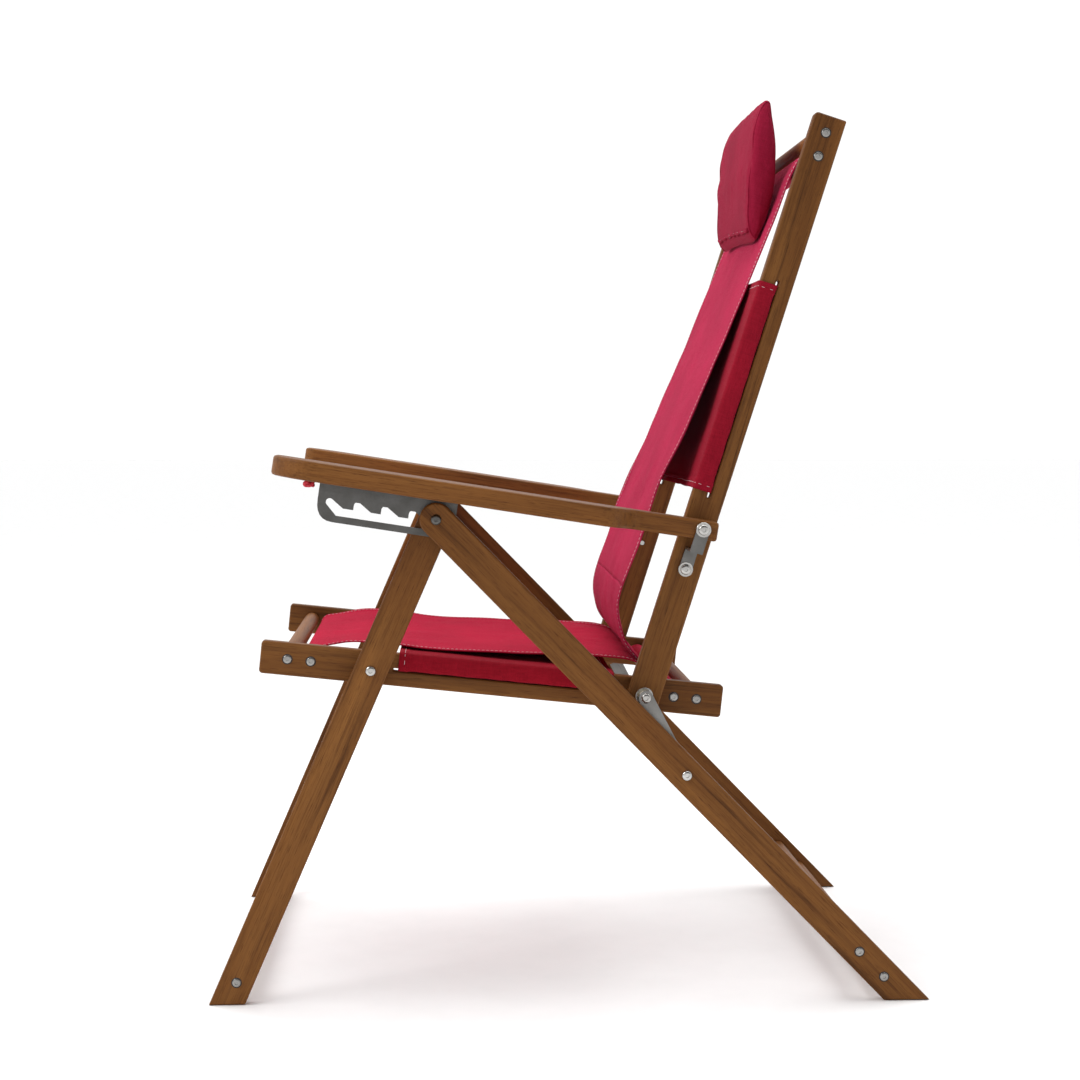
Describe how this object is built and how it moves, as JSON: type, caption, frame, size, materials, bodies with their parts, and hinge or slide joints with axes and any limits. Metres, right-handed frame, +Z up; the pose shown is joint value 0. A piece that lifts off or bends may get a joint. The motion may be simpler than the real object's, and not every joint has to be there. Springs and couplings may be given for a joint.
{
  "type": "folding camp chair",
  "caption": "Folding wooden lounge chair with a fabric sling seat and back, head pillow, flat armrests and notched steel reclining plates.",
  "frame": {"origin": "middle of the bottom of the open chair, on the floor", "axes": "+Z up, the sitter faces -Y, +X is the sitter's left; the chair is symmetric about X = 0"},
  "size_m": [0.668, 0.8327, 1.0536],
  "materials": {
    "teak": "oiled brown hardwood with fine straight grain, edges lightly rounded",
    "steel": "stainless steel, satin plates and bright button heads",
    "nylon": "cream nylon spacer tube",
    "cloth": "crimson plain-weave canvas with off-white stitching"
  },
  "bodies": {
    "rear_legs": {"left_rear_leg": "teak", "right_rear_leg": "teak", "left_apex_bolt": "steel", "right_apex_bolt": "steel", "left_link_bolt": "steel", "right_link_bolt": "steel", "rear_leg_dowel_upper": "teak", "rear_leg_dowel_lower": "teak"},
    "front_legs": {"left_front_leg": "teak", "right_front_leg": "teak", "left_apex_nut": "steel", "right_apex_nut": "steel", "left_seat_bolt": "steel", "right_seat_bolt": "steel", "left_seat_spacer": "nylon", "right_seat_spacer": "nylon", "front_leg_dowel": "teak"},
    "links": {"left_link": "steel", "right_link": "steel", "left_link_screw": "steel", "right_link_screw": "steel"},
    "seat": {"left_seat_rail": "teak", "right_seat_rail": "teak", "left_seat_nut": "steel", "right_seat_nut": "steel", "seat_dowel_front_outer": "teak", "seat_dowel_front_inner": "teak", "seat_dowel_rear_inner": "teak", "seat_dowel_rear_outer": "teak", "seat_band": "cloth", "seat_sling": "cloth"},
    "back_pivot": {"left_back_bolt": "steel", "right_back_bolt": "steel", "left_back_washer": "steel", "right_back_washer": "steel", "left_back_spacer": "nylon", "right_back_spacer": "nylon"},
    "back": {"left_back_stile": "teak", "right_back_stile": "teak", "left_arm_bracket": "steel", "right_arm_bracket": "steel", "left_bracket_bolt": "steel", "right_bracket_bolt": "steel", "top_dowel_lower": "teak", "top_dowel_upper": "teak", "back_band": "cloth", "back_sling": "cloth", "head_pillow": "cloth"},
    "arm_pivot": {"left_arm_bolt": "steel", "right_arm_bolt": "steel"},
    "armrests": {"left_armrest": "teak", "right_armrest": "teak", "left_notch_plate": "steel", "right_notch_plate": "steel", "left_cord_knot": "cloth", "right_cord_knot": "cloth"}
  },
  "joints": [
    {"name": "fold", "type": "hinge", "parent": "rear_legs", "child": "front_legs", "pos_m": [0, -0.1531, 0.559], "axis": [1, 0, 0], "range_deg": [0, 66.55], "deforming": ["back_sling", "back_band"]},
    {"name": "seat_fold", "type": "hinge", "parent": "front_legs", "child": "seat", "pos_m": [0, -0.22836, 0.38509], "axis": [1, 0, 0], "range_deg": [-101.18, 0]},
    {"name": "link_fold", "type": "hinge", "parent": "rear_legs", "child": "links", "pos_m": [0, 0.13309, 0.26471], "axis": [1, 0, 0], "range_deg": [-148.48, 0]},
    {"name": "back_fold", "type": "hinge", "parent": "seat", "child": "back_pivot", "pos_m": [0, 0.08741, 0.35198], "axis": [1, 0, 0], "range_deg": [0, 94.03]},
    {"name": "recline", "type": "hinge", "parent": "back_pivot", "child": "back", "pos_m": [0, 0.08741, 0.35198], "axis": [1, 0, 0], "range_deg": [-39.76, 0], "deforming": ["back_sling"]},
    {"name": "arm_recline", "type": "hinge", "parent": "back", "child": "arm_pivot", "pos_m": [0, 0.14967, 0.54709], "axis": [1, 0, 0], "range_deg": [0, 30.88]},
    {"name": "arm_fold", "type": "hinge", "parent": "arm_pivot", "child": "armrests", "pos_m": [0, 0.14967, 0.54709], "axis": [1, 0, 0], "range_deg": [-96.85, 0]}
  ],
  "couplings": [
    {"joint": "seat_fold", "follows": "fold", "ratio": -1.5196},
    {"joint": "link_fold", "follows": "fold", "ratio": -2.2304},
    {"joint": "back_fold", "follows": "fold", "ratio": 1.4122},
    {"joint": "arm_fold", "follows": "fold", "ratio": -1.4546},
    {"joint": "arm_recline", "follows": "recline", "ratio": -0.7754}
  ]
}
